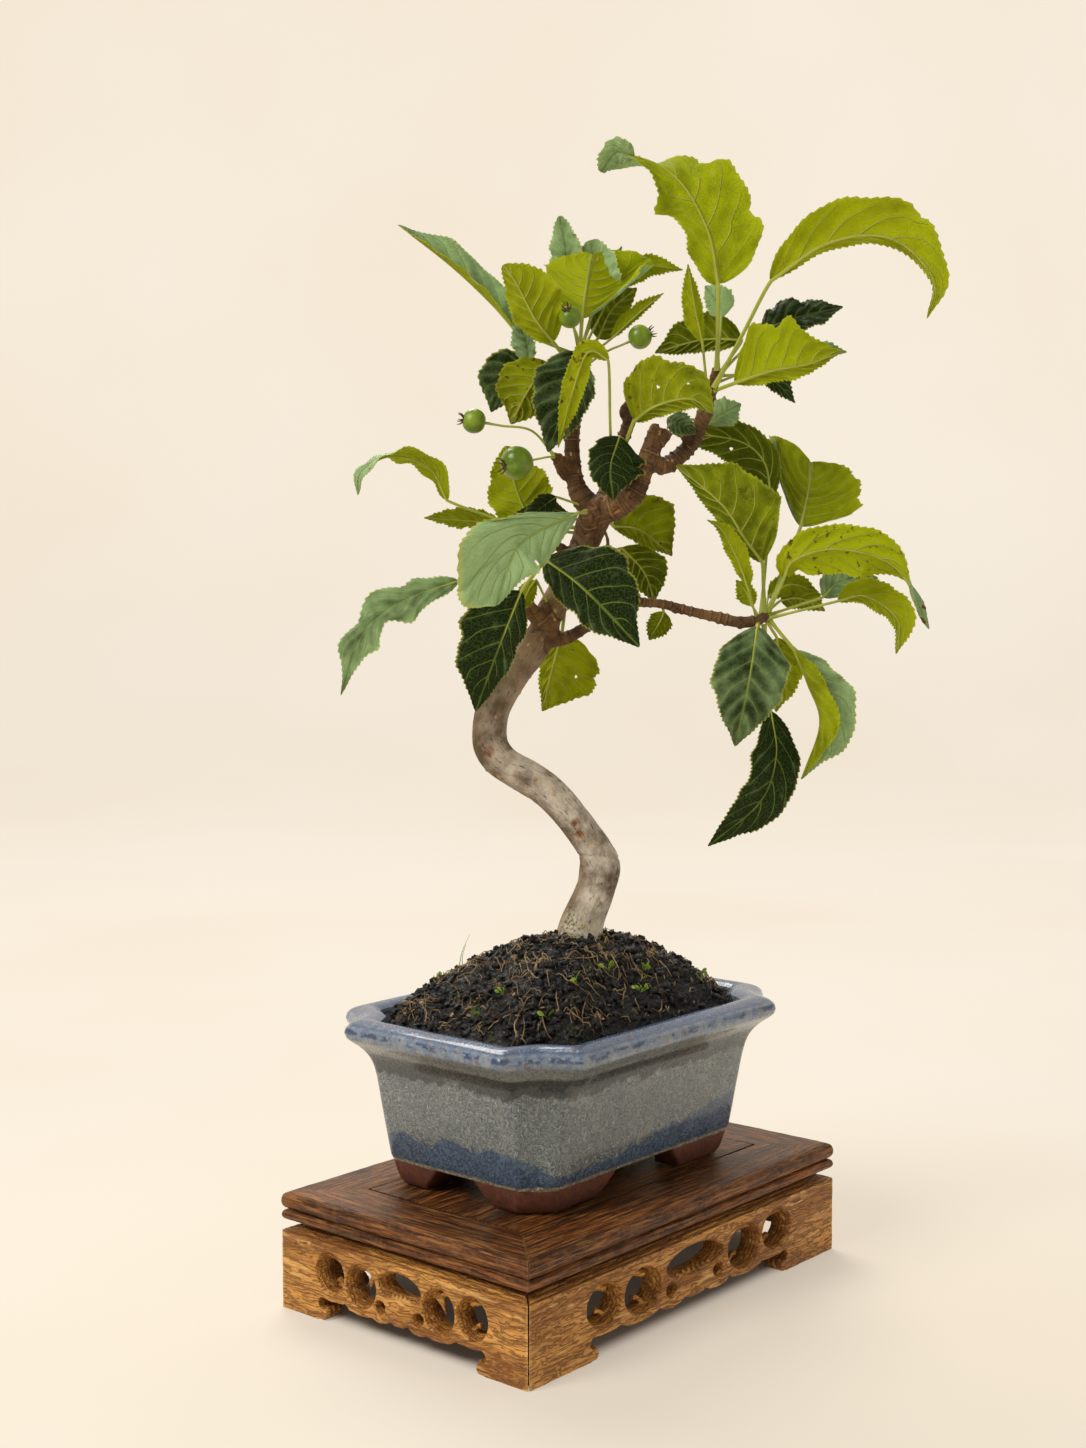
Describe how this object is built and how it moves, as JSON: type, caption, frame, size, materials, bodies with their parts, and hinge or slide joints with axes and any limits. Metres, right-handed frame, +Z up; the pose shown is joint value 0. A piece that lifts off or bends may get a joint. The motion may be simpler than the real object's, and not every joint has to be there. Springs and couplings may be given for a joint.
{
  "type": "crabapple bonsai",
  "caption": "Crabapple bonsai with a curved trunk, leaves and small green fruit, in a footed rectangular glazed pot on a carved wooden stand with a framed top.",
  "frame": {"origin": "centre of the whole object's outline in plan, at the underside of the stand's feet", "axes": "+Z up, X along the stand's and the pot's long side, -Y towards the side that the picture shows on its right"},
  "size_m": [0.24, 0.2358, 0.5499],
  "materials": {
    "bark": "matte",
    "leaf": "satin",
    "fruit_skin": "satin",
    "soil": "matte",
    "glaze": "gloss",
    "plastic_mesh": "matte",
    "dark_wood": "satin",
    "light_wood": "satin"
  },
  "bodies": {
    "root": {"apron_back": "light_wood", "apron_front": "light_wood", "apron_left": "light_wood", "apron_right": "light_wood", "batten": "light_wood", "drain_screen_left": "plastic_mesh", "drain_screen_right": "plastic_mesh", "fruit_big": "fruit_skin", "fruit_crown": "fruit_skin", "fruit_crown_right": "fruit_skin", "fruit_far_left": "fruit_skin", "leaf_arched_right": "leaf", "leaf_behind_fruit": "leaf", "leaf_behind_right": "leaf", "leaf_behind_shoot": "leaf", "leaf_bright_arch": "leaf", "leaf_centre_big": "leaf", "leaf_crescent": "leaf", "leaf_crown_cup": "leaf", "leaf_crown_left": "leaf", "leaf_crown_veined": "leaf", "leaf_dark_centre": "leaf", "leaf_dark_crown": "leaf", "leaf_dark_left": "leaf", "leaf_dark_right": "leaf", "leaf_far_left_arch": "leaf", "leaf_front_big": "leaf", "leaf_grey_curled": "leaf", "leaf_grey_right": "leaf", "leaf_hanging_front": "leaf", "leaf_hanging_left": "leaf", "leaf_hanging_low": "leaf", "leaf_heart": "leaf", "leaf_left_small": "leaf", "leaf_left_wavy": "leaf", "leaf_olive_behind": "leaf", "leaf_olive_lower": "leaf", "leaf_olive_upper": "leaf", "leaf_pale_arch": "leaf", "leaf_right_big_arch": "leaf", "leaf_round_behind": "leaf", "leaf_shoot_left": "leaf", "leaf_shoot_narrow": "leaf", "leaf_small_upright": "leaf", "leaf_striped_small": "leaf", "leaf_top_big": "leaf", "leaf_top_left_long": "leaf", "leaf_under_yellow": "leaf", "leaf_yellow_arch": "leaf", "leaf_yellow_hanging": "leaf", "leaf_yellow_left": "leaf", "leaf_yellow_right": "leaf", "panel": "dark_wood", "pot": "glaze", "rail_back": "dark_wood", "rail_front": "dark_wood", "rail_left": "dark_wood", "rail_right": "dark_wood", "soil": "soil", "tree": "bark"}
  },
  "joints": []
}
